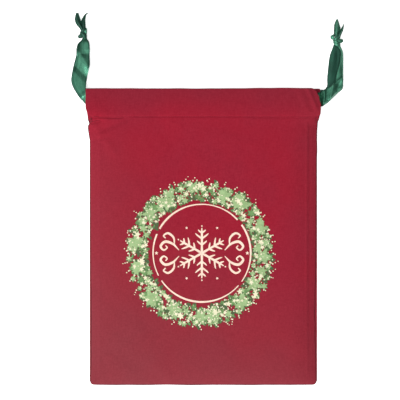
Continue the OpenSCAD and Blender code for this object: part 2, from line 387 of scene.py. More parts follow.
def satin_material(name, shades, gloss, roughness):
    """Green satin: fine lengthwise floats that catch the light, a faint cross rib and tight woven edges.

    shades are its two ground colours, the colour of the painted highlight on raised floats and that of the
    painted shade on sunken floats and along the woven edges.
    """
    tree, shader, material = new_material(name)
    cut = node(tree, "TexCoord", {}).outputs["UV"]
    u, v, _ = node(tree, "SeparateXYZ", {0: cut}).outputs
    floats = noise_of(tree, cut, (5200, 90, 1), 2.0)
    bands = noise_of(tree, cut, (230, 34, 1), 2.0)
    sunken_float_shade = noise_of(tree, cut, (900, 420, 1), 2.0)
    edge = ranged(tree, maths(tree, "ABSOLUTE", u), 0.43 * RIBBON_W, 0.475 * RIBBON_W)
    green = colour_mix(tree, ranged(tree, bands, 0.3, 0.7), shades[0], shades[1])
    # painted highlight on the raised floats
    green = colour_mix(tree, ranged(tree, floats, 0.35, 0.8, 0.0, 0.3), green, shades[2])
    # painted shade on the sunken floats
    green = colour_mix(tree, ranged(tree, sunken_float_shade, 0.45, 0.8, 0.0, 0.3), green, shades[3])
    # the tight woven edges, with painted shade along them
    green = colour_mix(tree, times(tree, edge, 0.5), green, shades[3])
    rib = maths(tree, "SINE", times(tree, v, 2 * math.pi / (0.45 * MM)))
    height = plus(tree, times(tree, floats, 0.8), times(tree, rib, 0.06))
    height = plus(tree, height, times(tree, edge, 0.5))
    across = node(tree, "Tangent", {}, direction_type="UV_MAP", uv_map="cut").outputs[0]
    feed(tree, shader, {"Base Color": green, "Normal": bumped(tree, height, 0.35, 0.12 * MM),
                        "Roughness": ranged(tree, floats, 0.3, 0.8, roughness, roughness + 0.12),
                        "Tangent": across, "Anisotropic": 0.8, "Metallic": gloss,
                        "Specular IOR Level": 0.45, "Sheen Weight": 0.06, "Sheen Roughness": 0.3})
    return material


def ink_material(name, inks, worn, weave_bump=0.4):
    """Print on the weave: its colour shifts between two inks and is broken where threads stand proud."""
    tree, shader, material = new_material(name)
    place = node(tree, "TexCoord", {}).outputs["Object"]
    x, y, _ = node(tree, "SeparateXYZ", {0: place}).outputs
    shift = noise_of(tree, place, (150, 150, 150), 3.0, 0.6)
    grain = noise_of(tree, place, (900, 900, 900), 2.0)
    warp = noise_of(tree, place, (1400, 120, 1), 2.0)
    weft = noise_of(tree, place, (120, 1400, 1), 2.0)
    tint = colour_mix(tree, ranged(tree, shift, 0.33, 0.67), inks[0], inks[1])
    tint = colour_mix(tree, ranged(tree, grain, 0.4, 0.75, 0.0, 0.4), tint, inks[2])
    bare = ranged(tree, plus(tree, warp, weft), 1.05, 1.35, 0.0, worn)
    tint = colour_mix(tree, bare, tint, colour(170, 50, 60))
    weave = weave_height(tree, x, y, 0.5 * MM)
    height = plus(tree, plus(tree, warp, weft), weave)
    feed(tree, shader, {"Base Color": tint, "Normal": bumped(tree, height, weave_bump, 0.2 * MM),
                        "Roughness": ranged(tree, grain, 0.3, 0.7, 0.5, 0.75), "Specular IOR Level": 0.3})
    return material


def thread_material(name, light, dark):
    """Sewing thread: fine twist lines and uneven dye."""
    tree, shader, material = new_material(name)
    place = node(tree, "TexCoord", {}).outputs["Object"]
    slanted = node(tree, "Mapping", {"Vector": place, "Rotation": (0.3, 0.4, 0.7)}).outputs[0]
    twist = node(tree, "TexWave",
                 {"Vector": slanted, "Scale": 900.0, "Distortion": 2.0, "Detail": 1.0}).outputs["Fac"]
    patch = noise_of(tree, place, (300, 300, 300), 2.0)
    tint = colour_mix(tree, ranged(tree, twist, 0.2, 0.8), dark, light)
    tint = colour_mix(tree, ranged(tree, patch, 0.35, 0.7, 0.0, 0.4), tint, dark)
    feed(tree, shader, {"Base Color": tint, "Normal": bumped(tree, twist, 0.5, 0.05 * MM),
                        "Roughness": ranged(tree, patch, 0.3, 0.7, 0.5, 0.65), "Sheen Weight": 0.02,
                        "Specular IOR Level": 0.2})
    return material


RED_CLOTH = cloth_material()
SATIN = satin_material("green_satin_face",
                       (colour(44, 96, 76), colour(60, 116, 93), colour(112, 172, 142), colour(20, 60, 47)),
                       0.75, 0.27)
# The satin's duller reverse side; its much darker colours are painted shade.
SATIN_REVERSE_SHADED = satin_material("green_satin_reverse",
                               (colour(16, 54, 42), colour(26, 74, 58), colour(56, 118, 94),
                                colour(8, 34, 28)), 0.55, 0.38)
RED_THREAD = thread_material("red_thread_twist", colour(150, 30, 48), colour(104, 14, 30))
CREAM_INK = ink_material("cream_ink_print",
                         (colour(238, 212, 192), colour(230, 198, 178), colour(244, 226, 208)), 0.25)
PEARL_INK = ink_material("pearl_ink_print",
                         (colour(224, 218, 186), colour(212, 208, 172), colour(236, 230, 206)), 0.2)
LIGHT_GREEN_INK = ink_material("light_green_ink_print",
                               (colour(146, 176, 122), colour(128, 158, 104), colour(180, 200, 152)), 0.25)
MID_GREEN_INK = ink_material("mid_green_ink_print",
                             (colour(100, 140, 82), colour(76, 116, 64), colour(134, 166, 106)), 0.3)
DARK_GREEN_INK = ink_material("dark_green_ink_print",
                              (colour(54, 84, 48), colour(66, 82, 48), colour(74, 104, 60)), 0.35)


# ---------------------------------------------------------------- shape of the sack

# Outline of the sack as (y, x) knots in millimetres, below and along the casing
LEFT_EDGE = [(-195, -149), (-178, -148.1), (-104, -148), (-20, -148.8), (122, -149.4), (146, -151.7),
             (149.5, -150.2), (154, -151.6), (160, -152.2), (171, -154.2), (196, -154.2)]
RIGHT_EDGE = [(-195, 148.8), (-175, 148.4), (-122, 147.5), (-93, 147.4), (-30, 148.3), (60, 149),
              (138, 149.8),
              (150, 150.2), (157, 152), (163, 153.6), (196, 153.6)]
# The right end of the front casing is turned in at the mouth
RIGHT_FRONT_EDGE = RIGHT_EDGE[:-1] + [(172, 154), (182, 151.6), (190, 148.6), (193.4, 145), (196, 140)]

BOTTOM_CORNER_R = 5 * MM
SLOPE = 17 * MM  # how fast the front cloth rises from its seams
SEAM_ROLL = 1.6 * MM  # width of the cloth that rolls down into the seams
FOLD_R = 1.2 * MM
TURN_R = 0.55 * MM
FOLD_Y = HALF_H - FOLD_R - CLOTH_T / 2
TURN_Y = STITCH_Y - 0.6 * MM
HEM_STEP = MID_BAND_Y + 2.4 * MM
FAR_TURN_BACK = 3 * MM  # how far short of the frame's the ribbons' far turns stop, to stay inside the casing

FRONT_CREASES = [
    # along the stitch line, where the casing pulls
    ((-149, 156.6), (-106, 156.2), -1.0, 1.4), ((66, 156.4), (150, 156.2), -0.35, 1.4),
    # at the left edge, where the seam ends
    ((-153, 149), (-136, 152), -1.6, 1.8), ((-150, 125), (-128, 131), -0.8, 1.8),
                 ((-151, 153), (-143, 158), 0.5, 2),
    # slanting away below the casing
    ((-146, 150), (-118, 112), 0.6, 5), ((-132, 140), (-102, 154), -1.2, 3.6),
                 ((140, 148), (112, 104), 0.6, 6),
    ((122, 152), (86, 118), -0.6, 6), ((30, 154), (4, 128), 0.25, 5), ((-60, 153), (-42, 124), -0.25, 6),
    # the side seam allowances, felt through the cloth
    ((136, 147), (135.4, -60), 0.55, 1.6), ((139.5, 146), (139, -150), -0.35, 2.4),
    ((135.6, -60), (136.5, -176), 0.35, 1.8), ((-136.5, 140), (-136, -178), 0.25, 2.2),
    # soft folds from lying in a stack
    ((-40, -195), (-86, -122), 0.4, 9), ((-120, -150), (-60, -186), -0.4, 10),
                 ((70, -190), (120, -130), 0.4, 9),
    ((-146, -60), (-112, -96), -0.4, 8), ((146, 20), (118, -20), 0.35, 8), ((-30, 145), (60, 122), 0.3, 8),
    ((96, -150), (146, -168), -0.4, 7),
    # the turned-in end of the right casing
    ((137, 195), (147.5, 170), 1.1, 2.6), ((126, 192), (136, 168), 0.4, 4), ((118, 196), (126, 176), -0.2, 4),
    # the left end of the casing
    ((-143, 192), (-141, 164), 0.2, 3), ((-120, 192), (-124, 168), -0.2, 4),
]


def corner_inset(y):
    """How far the round bottom corners draw the side edges in at y."""
    rise = np.clip(y + HALF_H, 0, BOTTOM_CORNER_R)
    return BOTTOM_CORNER_R - np.sqrt(np.maximum(BOTTOM_CORNER_R**2 - (BOTTOM_CORNER_R - rise) ** 2, 0))


def edge_ripple(y, seed):
    return 0.28 * MM * ripples(y, 0 * y, 21 * MM, seed)


def side_edges(y, front):
    """x of the left and of the right edge at y."""
    left = eased(y, LEFT_EDGE) + edge_ripple(y, 3) + corner_inset(y)
    right = eased(y, RIGHT_FRONT_EDGE if front else RIGHT_EDGE) + edge_ripple(y, 4) - corner_inset(y)
    return left, right


def end_wave(x, y):
    """How far the bottom edge and the mouth stray along Y. It dies out away from them."""
    bottom = 0.45 * MM * ripples(x, 0 * x, 60 * MM, 5) * smoothstep(-0.165, -0.195, y)
    mouth = (0.25 * MM * ripples(x, 0 * x, 24 * MM, 6) + 0.5 * MM *
             smoothstep(0.02, 0.12, x)) * smoothstep(0.17, 0.195, y)
    return bottom + mouth


def front_top(x, y):
    """z of the outer face of the front cloth."""
    y_in = np.minimum(y, HALF_H)
    left, right = side_edges(y_in, True)
    in_casing = smoothstep(SEAM_TOP_Y - 1 * MM, SEAM_TOP_Y + 21 * MM, y)
    side = np.maximum(np.minimum(x - left, right - x), 0)
    bottom = np.maximum(y + HALF_H, 0)
    rise = (1 - np.exp(-side / SLOPE)) * mix(1 - np.exp(-bottom / SLOPE), 1, in_casing)
    low = mix(SEAM_TOP_Z, FRONT_Z - 0.25 * MM, in_casing)
    z = mix(low, FRONT_Z, rise)
    away = np.minimum(side, bottom)
    flatness = smoothstep(0, 22 * MM, away)
    z = z + flatness * (0.5 * MM * ripples(x, y, 105 * MM, 11) + 0.1 * MM * ripples(x, y, 34 * MM, 12))
    gather = np.exp(-np.abs(y - STITCH_Y) / (6 * MM))
    z = z + 0.14 * MM * ripples(x, 0.12 * y, 8 * MM, 13) * gather
    z = z - 0.5 * MM * np.exp(-((y - STITCH_Y) / (1.1 * MM)) ** 2)
    for start, end, height, width in FRONT_CREASES:
        z = z + crease(x, y, start, end, height, width) * smoothstep(0, 4 * MM, side + 2 * MM)
    roll = np.clip(1 - side / SEAM_ROLL, 0, 1)
    seam_fall = SEAM_TOP_Z - CLOTH_T * 1.6
    z = z - mix(seam_fall, 0.2 * MM, in_casing) * (1 - np.sqrt(np.maximum(1 - roll**2, 0)))
    roll = np.clip(1 - bottom / SEAM_ROLL, 0, 1)
    return z - seam_fall * (1 - np.sqrt(np.maximum(1 - roll**2, 0)))


def back_bottom(x, y):
    """z of the outer face of the back cloth, which lies on the table."""
    left, right = side_edges(np.minimum(y, HALF_H), False)
    side = np.maximum(np.minimum(x - left, right - x), 0)
    away = np.minimum(side, np.maximum(y + HALF_H, 0))
    roll = np.clip(1 - away / SEAM_ROLL, 0, 1)
    lifted = 0.1 * MM * (1 + ripples(x, y, 60 * MM, 21)) * smoothstep(2 * MM, 30 * MM, away)
    groove = 0.12 * MM * np.exp(-((y - STITCH_Y) / (0.9 * MM)) ** 2)
    return lifted * 0.5 + groove + 0.25 * MM * (1 - np.sqrt(np.maximum(1 - roll**2, 0)))


def spaced(stops):
    """Places from one stop to the next, each stretch in steps of about its own length. Millimetres."""
    places = [np.array([stops[0][0]])]
    for (start, step), (end, _) in zip(stops, stops[1:]):
        count = max(1, round(abs(end - start) / step))
        places.append(np.linspace(start, end, count + 1)[1:])
    return np.concatenate(places) * MM


def panel_grid(front, side):
    """Middle surface of a panel with its hem, as a grid [along the cut cloth, across].

    side is -1 or 1 for the half of the panel left or right of X = 0, and 0 for the whole panel.
    """
    flip = 1 if front else -1
    across = spaced([(-150, 0.5), (-146, 1.2), (-132, 2), (0, 2), (132, 1.2), (146, 0.5),
                     (150, 1)]) / (150 * MM)
    if side:
        across = across[across * side >= -1e-9]
    up = spaced([(-195, 0.5), (-190, 1.5), (-170, 2.2), (140, 1.2), (152, 0.5), (162, 1.2), (185, 1),
                 (193, 0.5)])
    up = np.append(up[up < FOLD_Y - 0.2 * MM], FOLD_Y)
    arc = np.radians(np.linspace(0, 180, 13)[1:])
    down = np.linspace(FOLD_Y, TURN_Y, 22)[1:]
    turn = np.radians(np.linspace(0, 180, 7)[1:])
    back_up = np.linspace(TURN_Y, TURN_Y + 1.8 * MM, 3)[1:]
    # each row's place along Y, its depth below the panel's middle surface, and its share of the width
    y = np.concatenate([up, FOLD_Y + FOLD_R * np.sin(arc), down, TURN_Y - TURN_R * np.sin(turn), back_up])
    below = np.concatenate([0 * up, FOLD_R * (1 - np.cos(arc)), 0 * down + 2 * FOLD_R,
                            2 * FOLD_R - TURN_R * (1 - np.cos(turn)), 0 * back_up + 2 * FOLD_R - 2 * TURN_R])
    # the hem is cut back below HEM_STEP, where the other ribbon turns round its end
    narrow = (HEM_X - FAR_TURN_BACK) / CASING_X
    width = np.where(below > FOLD_R, mix(narrow, 1, smoothstep(HEM_STEP - 1.5 * MM, HEM_STEP + 1.5 * MM, y)),
                     1)
    left, right = side_edges(np.minimum(y, HALF_H), front)
    left, right = left * width, right * width
    x = np.where(across[None, :] < 0, -left[:, None] * across[None, :], right[:, None] * across[None, :])
    y = np.repeat(y[:, None], len(across), axis=1)
    y_wave = y + end_wave(x, y)
    level = front_top(x, y_wave) - CLOTH_T / 2 if front else back_bottom(x, y_wave) + CLOTH_T / 2
    on_hem = (below > 0)[:, None]
    plain = FRONT_Z - CLOTH_T / 2 if front else CLOTH_T / 2
    rest = plain + 0.15 * MM * ripples(x, y, 40 * MM, 31 + front)
    level = np.where(on_hem, mix(level, rest, smoothstep(0, FOLD_R, below)[:, None]), level)
    z = level - flip * below[:, None]
    return np.stack([x, y_wave, z], axis=2)


def bend_with_mouth(obj):
    """Bakes the piece's placement into its points."""
    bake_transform(obj)


SIDES = {"left": -1, "right": 1}


def tag(piece, body, slot_name, *nodes):
    """The piece rides on a body and stands for CAD nodes, if any, which are hidden. slot_name is not used."""
    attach(piece, body)
    if nodes:
        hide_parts(*nodes)


def build_cloth():
    back = cloth_piece("back_cloth", panel_grid(False, 0)[:, ::-1], CLOTH_T, RED_CLOTH)
    tag(back, "back_wall", "red_cloth", "back_panel", "back_hem", "back_hem_edge", "back_mouth_fold")
    for name, side in SIDES.items():
        front = cloth_piece("front_cloth_" + name, panel_grid(True, side), CLOTH_T, RED_CLOTH)
        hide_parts("front_panel", "front_hem", "front_hem_edge", "front_mouth_fold")
        bend_with_mouth(front)


# ---------------------------------------------------------------- seams and stitches

STITCH = 3 * MM


def stitch_path(start, end, surface, radius, share=0.78):
    """One stitch from start to end, which dips into the cloth at both ends."""
    steps = np.linspace(0, 1, 5)
    x = mix(start[0], end[0], 0.5 + (steps - 0.5) * share)
    y = mix(start[1], end[1], 0.5 + (steps - 0.5) * share)
    lift = radius * (1.1 - 2.6 * (2 * steps - 1) ** 4)
    return np.stack([x, y, surface(x, y) + lift], axis=1)


def stitch_row(start, end, pitch, surface, radius):
    start, end = np.array(start), np.array(end)
    count = round(np.linalg.norm(end - start) / pitch)
    stops = [mix(start, end, i / count) for i in range(count + 1)]
    return [stitch_path(a, b, surface, radius) for a, b in zip(stops, stops[1:])]


def build_casing_stitches():
    radius = 0.17 * MM
    for name, side in SIDES.items():
        row = stitch_row((0, STITCH_Y), (side * (HEM_X + 6 * MM), STITCH_Y), STITCH, front_top, radius)
        thread = tube_piece("front_casing_stitches_" + name, row, radius, RED_THREAD)
        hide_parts("front_casing_thread")
        bend_with_mouth(thread)
    ends = (-HEM_X - 6 * MM, STITCH_Y), (HEM_X + 6 * MM, STITCH_Y)
    under = stitch_row(*ends, STITCH, lambda x, y: -back_bottom(x, y), radius)
    under = [path * [1, 1, -1] for path in under]
    inside = stitch_row(*[(x * 0.94, y) for x, y in ends], STITCH, lambda x, y: 0 * x + hem_high.z, radius)
    back = tube_piece("back_casing_stitches", under + inside, radius, RED_THREAD)
    tag(back, "back_wall", "red_thread", "back_casing_thread")


OVERLOCK_PITCH = 2.2 * MM
OVERLOCK_DEPTH = 4.2 * MM  # how far its stitches reach in from the free edge


def build_allowance(node_name, thread_name):
    """A seam allowance of two layers, with its seam stitches and overlock thread round its free edge."""
    low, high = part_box(node_name)
    thread_low, thread_high = (np.array(corner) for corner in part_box(thread_name))
    thread_ends = np.array([(thread_low + thread_high) / 2] * 2)[:, :2]
    # the two ends of the sewn edge and of the free edge
    if node_name == "bottom_seam":
        sewn, free = (np.array([(low.x, y), (high.x, y)]) for y in (low.y, high.y))
        thread_ends[:, 0] = thread_low[0], thread_high[0]
    else:
        across = (low.x, high.x) if low.x < 0 else (high.x, low.x)
        sewn, free = (np.array([(x, low.y), (x, high.y)]) for x in across)
        thread_ends[:, 1] = thread_low[1], thread_high[1]
    width, long = sorted((high.x - low.x, high.y - low.y))
    middle_z, thickness = (low.z + high.z) / 2, high.z - low.z
    t = np.linspace(0, 1, round(long / (2.5 * MM)))[:, None, None]
    s = np.linspace(0, 1, 7)[None, :, None]
    place = mix(mix(*sewn, t), mix(*free, t), s)
    curl = 0.1 * MM * np.abs(ripples(place[..., 0], place[..., 1], 26 * MM, 41) * s[..., 0] ** 2)
    mid = face_up(np.dstack([place, middle_z + curl]))
    cloth = cloth_piece(node_name + "_allowance", mid, thickness - 0.15 * MM, RED_CLOTH)
    tag(cloth, "back_wall", "red_cloth", node_name)

    loops = []
    count = round(long / OVERLOCK_PITCH)
    reach = thickness / 2 + 0.12 * MM
    deep = OVERLOCK_DEPTH / width
    for i in range(count):
        (free_a, sewn_a), (free_b, sewn_b) = ((mix(*free, a), mix(*sewn, a))
                                              for a in ((i + 0.1) / count, (i + 0.9) / count))
        edge = (free_a + free_b) / 2
        edge = edge + (edge - (sewn_a + sewn_b) / 2) / width * 0.35 * MM
        loops.append(spline([(*mix(free_a, sewn_a, deep), middle_z + reach), (*free_a, middle_z + reach),
                             (*edge, middle_z), (*free_b, middle_z - reach),
                             (*mix(free_b, sewn_b, deep), middle_z - reach)], 13))
    tag(tube_piece(node_name + "_overlock", loops, 0.13 * MM, RED_THREAD, sides=5), "back_wall", "red_thread")

    def level(x, y):
        return 0 * x + thread_high[2] - 0.2 * MM

    seam = tube_piece(thread_name + "_stitches", stitch_row(*thread_ends, STITCH, level, 0.14 * MM),
                      0.14 * MM, RED_THREAD)
    tag(seam, "back_wall", "red_thread", thread_name)


def build_bar_tack(name, side):
    """Dense zigzag over the end of a side seam, sewn through all layers."""
    low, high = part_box(name)
    turns = 13
    y = np.linspace(low.y, high.y, 2 * turns + 1)
    zigzag = np.where(np.arange(len(y)) % 2, low.x, high.x)
    x = zigzag - side * 0.6 * MM
    fine = np.linspace(0, len(y) - 1, 6 * len(y))
    x, y = np.interp(fine, range(len(y)), x), np.interp(fine, range(len(y)), y)
    path = np.stack([x, y, front_top(x, y) + 0.1 * MM], axis=1)
    tack = tube_piece(name + "_zigzag", [path], 0.16 * MM, RED_THREAD, sides=5)
    tag(tack, "back_wall", "red_thread", name)


# ---------------------------------------------------------------- print

INK_T = 0.09 * MM


class Ink:
    """Flat printed shapes of one colour, which follow the front cloth."""

    def __init__(self, name, material, slot_name, lift):
        self.name, self.material, self.slot_name, self.lift = name, material, slot_name, lift * MM
        self.shapes = []

    def outline(self, points, rings=0):
        """A closed shape from its outline, anticlockwise, in metres about the middle of the print.

        rings is the number of inner outlines, so that a big shape bends with the cloth.
        """
        points = np.asarray(points, float)
        n = len(points)
        if not rings:
            self.shapes.append((points, [tuple(range(n))]))
            return
        middle = points.mean(axis=0)
        shells = [mix(points, middle, i / (rings + 1)) for i in range(rings + 1)] + [middle[None]]
        cells = []
        for ring in range(rings):
            a, b = ring * n, (ring + 1) * n
            cells += [(a + i, a + (i + 1) % n, b + (i + 1) % n, b + i) for i in range(n)]
        inmost = rings * n
        cells += [(inmost + i, inmost + (i + 1) % n, inmost + n) for i in range(n)]
        self.shapes.append((np.concatenate(shells), cells))

    def strip(self, left, right):
        """A stroke between its left and its right edge, in cells that bend with the cloth."""
        points = np.concatenate([left, right])
        n = len(left)
        self.shapes.append((points, [(i, n + i, n + i + 1, i + 1) for i in range(n - 1)]))

    def stroke(self, route, widths, count=40):
        """A pen stroke along a route of points, with a width for each of them. Millimetres."""
        line = spline(np.array(route) * MM, count)
        width = np.maximum(spline(np.array(widths)[:, None] * MM, count), 0.1 * MM)
        side = leftward(line)
        self.strip(line + side * width / 2, line - side * width / 2)

    def build(self, *nodes):
        for name, side in SIDES.items():
            points, faces = [], []
            for i, (shape, cells) in enumerate(self.shapes):
                if (shape[:, 0].mean() + PRINT_X >= 0) != (side > 0):
                    continue
                base, n = len(points), len(shape)
                x, y = shape[:, 0] + PRINT_X, shape[:, 1] + PRINT_Y
                z = front_top(x, y) + self.lift + (i % 9) * 0.004 * MM
                points.extend(np.stack([x, y, z], axis=1))
                points.extend(np.stack([x, y, z - INK_T], axis=1))
                edges = {}
                for cell in cells:
                    faces.append(tuple(base + i for i in cell))
                    faces.append(tuple(base + n + i for i in reversed(cell)))
                    for a, b in zip(cell, cell[1:] + cell[:1]):
                        edges[(a, b)] = 1
                for a, b in edges:
                    if (b, a) not in edges:
                        faces.append((base + a, base + a + n, base + b + n, base + b))
            printed = add_piece(f"{self.name}_{name}", points, faces, self.material)
            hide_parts(*nodes)
            bend_with_mouth(printed)


def polar(centre, radii, angles):
    return np.stack([centre[0] + radii * np.cos(angles), centre[1] + radii * np.sin(angles)], axis=1)


def star(centre, r, turn, points=5, inner=0.46):
    angles = turn + np.arange(2 * points) * math.pi / points
    return polar(centre, np.where(np.arange(2 * points) % 2, inner * r, r), angles)


def leafy_star(centre, r, turn, arms=6, waist=0.5):
    """A star with pointed arms and toothed edges, like a sprig of leaves seen from above."""
    steps = 12
    i = np.arange(arms * steps)
    from_tip = np.abs((i % steps) - steps / 2) / (steps / 2)
    reach = waist + (1 - waist) * from_tip**1.25
    reach = reach * np.where(i % 2, 0.9, 1.03)
    return polar(centre, r * reach, turn + i * 2 * math.pi / len(i))


def leaf(base, length, turn, width):
    t = np.array([0, 0.12, 0.3, 0.5, 0.7, 0.88, 1.0])
    half = width * np.array([0.12, 0.6, 0.95, 1.0, 0.74, 0.34, 0.02]) / 2
    x = np.concatenate([t, t[-2:0:-1]]) * length
    y = np.concatenate([-half, half[-2:0:-1]])
    c, s = math.cos(turn), math.sin(turn)
    return np.stack([base[0] + c * x - s * y, base[1] + s * x + c * y], axis=1)


GROUND_LEAVES = 520
BIG_STARS = 15
SMALL_STARS = 150
PEARLS = 640
PEARL_STRINGS = 52


def build_wreath():
    """A band of leafy stars on a dark ground of leaves, strewn with small stars and pearls."""
    chance = random.Random(7)
    shade = Ink("print_shade", DARK_GREEN_INK, "green_ink", 0.10)
    sprigs = Ink("print_sprigs", MID_GREEN_INK, "green_ink", 0.17)
    leaves = Ink("print_leaves", LIGHT_GREEN_INK, "green_ink", 0.24)
    stars = Ink("print_stars", PEARL_INK, "cream_ink", 0.31)
    inner, outer = RING_R + 3.5 * MM, WREATH_R - 3.5 * MM

    def place(r, a):
        return np.array([WREATH_OFF[0] + r * math.cos(a), WREATH_OFF[1] + r * math.sin(a)])

    def leafy(r, a, size, dark_share):
        turn = chance.uniform(0, math.pi)
        waist = chance.uniform(0.42, 0.56)
        centre = place(r, a)
        rings = 2 if size > 6 * MM else 0
        shade.outline(leafy_star(centre + (0.25 * MM, -0.65 * MM), size * 1.16, turn + 0.12, 6, waist), rings)
        (sprigs if chance.random() < dark_share else leaves).outline(leafy_star(centre, size, turn, 6, waist),
                                                                     rings)

    # a ground of small dark leaves, then mid-sized stars all round, then the big ones
    for i in range(GROUND_LEAVES):
        a = i * 2 * math.pi / GROUND_LEAVES
        r = chance.uniform(inner, outer - 1 * MM)
        heading = a + chance.uniform(-1.5, 1.5) + (math.pi if r < (inner + outer) / 2 else 0)
        length = chance.uniform(4, 8.5) * MM
        shade.outline(leaf(place(r, a), length, heading, length * 0.62))
        if i % 3 == 0:
            sprigs.outline(leaf(place(r, a), length * 0.85, heading, length * 0.3))
    for radius, count, low, high in ((72.5, 40, 3.2, 5), (79, 34, 4.4, 6.8), (86, 36, 4.6, 7.4),
                                     (92.5, 44, 3.2, 5.4)):
        for i in range(count):
            a = (i + chance.uniform(-0.4, 0.4)) * 2 * math.pi / count + radius
            leafy((radius + chance.uniform(-2.2, 2.2)) * MM, a, chance.uniform(low, high) * MM, 0.3)
    for i in range(BIG_STARS):
        a = (i + chance.uniform(-0.3, 0.3)) * 2 * math.pi / BIG_STARS
        leafy(chance.uniform(80, 87) * MM, a, chance.uniform(9, 13) * MM, 0.0)
    for i in range(SMALL_STARS):
        a = (i + chance.uniform(-0.5, 0.5)) * 2 * math.pi / SMALL_STARS
        r = mix(inner + 1 * MM, outer - 1.5 * MM, chance.random() ** 1.15)
        size = chance.choice([1.4, 1.6, 1.9, 2.2, 2.5, 2.9, 3.5, 4.4])
        stars.outline(star(place(r, a), size * MM, chance.uniform(0, 1.3)))
    for _ in range(PEARLS):
        a = chance.uniform(0, 2 * math.pi)
        r = chance.uniform(inner - 1 * MM, outer + 1 * MM)
        size = chance.choice([0.55, 0.65, 0.8, 0.95, 1.15]) * MM
        stars.outline(polar(place(r, a), size, np.arange(10) * math.pi / 5))
    # strings of two or three pearls that fly off the rim
    for i in range(PEARL_STRINGS):
        a = (i + chance.uniform(-0.4, 0.4)) * 2 * math.pi / PEARL_STRINGS
        step, spread = chance.uniform(2.2, 3.4), chance.uniform(-0.035, 0.035)
        for k in range(chance.choice([1, 2, 2, 3])):
            r = outer + (1.8 + step * k) * MM
            size = (1.0 - 0.18 * k) * MM
            stars.outline(polar(place(r, a + spread * k), size, np.arange(10) * math.pi / 5))
    shade.build("print_wreath")
    sprigs.build("print_wreath")
    leaves.build("print_wreath")
    stars.build("print_stars")


def build_ring():
    """A thin ring in uneven pen strokes. Each half is split where it crosses X = 0."""
    ring = Ink("print_ring", CREAM_INK, "cream_ink", 0.2)
    crossing = math.acos(-PRINT_X / RING_R)
    arcs = [(-0.62, 0.62), (0.75, crossing), (crossing, 2.62), (2.74, 3.62),
            (3.74, 2 * math.pi - crossing), (2 * math.pi - crossing, 5.56)]
    for start, end in arcs:
        angles = np.linspace(start, end, max(8, round((end - start) / 0.035)))
        r = RING_R - 2.4 * MM
        half = (0.95 + 0.3 * np.sin(3 * angles + 0.6)) * MM
        ring.strip(polar((0, 0), r - half, angles), polar((0, 0), r + half, angles))
    ring.build("print_ring")


def build_motif():
    """A six-armed snowflake between two scrolls."""
    motif = Ink("print_motif", CREAM_INK, "cream_ink", 0.2)

    def turned(points, a):
        c, s = math.cos(a), math.sin(a)
        return [(c * x - s * y, s * x + c * y) for x, y in points]

    for k in range(6):
        a = math.radians(30 + 60 * k)
        motif.stroke(turned([(3, 0), (12, 0), (24, 0), (33, 0)], a), [3.2, 2.6, 2.8, 1.2], 16)
        for at, reach in ((11, 6.5), (19, 8.5), (26.5, 5)):
            for way in (-1, 1):
                motif.stroke(turned([(at, 0), (at + reach * 0.45, way * reach * 0.62),
                                     (at + reach * 0.8, way * reach)], a),
                             [2.5, 2.1, 1.0], 8)
        motif.outline(star(turned([(0, 0)], 0)[0], 5.2 * MM, a, 6, 0.5) if k == 0
                      else polar(np.array(turned([(35.5, 0)], a)[0]) * MM, 1.0 * MM,
                                 np.arange(12) * math.pi / 6))
    for way in (-1, 1):
        for up in (-1, 1):
            scroll = [(way * 30, up * 4), (way * 38, up * 12), (way * 48, up * 15), (way * 54, up * 9),
                      (way * 50, up * 4), (way * 45.5, up * 7), (way * 47.5, up * 10)]
            motif.stroke(scroll, [1.0, 2.8, 3.4, 3.0, 2.2, 1.8, 1.4], 44)
            motif.stroke([(way * 36, up * 10), (way * 37, up * 20), (way * 44, up * 26), (way * 50, up * 23),
                          (way * 47.5, up * 19.5)], [1.0, 2.6, 2.8, 2.0, 1.2], 30)
        motif.outline(star(np.array([way * 59.5, 0]) * MM, 2.6 * MM, 0.3))
        motif.outline(star(np.array([way * 20, 33]) * MM, 2.0 * MM, 0.5))
        motif.outline(star(np.array([way * 20, -33]) * MM, 2.0 * MM, 0.9))
    motif.build("print_motif")


# ---------------------------------------------------------------- ribbons

# How steeply the ribbons run across the casing, each from its own half of the band to the other's
STRAND_SLOPE = (left_strand[1].y - left_strand[0].y - RIBBON_W) / (left_strand[1].x - left_strand[0].x)


def ribbon_piece(name, grid, face, reverse, nodes, row=-2):
    """A satin strip about a grid of points [along, across, xyz], with face upwards at the given row."""
    strip = cloth_piece(name, face_up(grid, row), RIBBON_T, face, reverse)
    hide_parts(*nodes)
    return strip


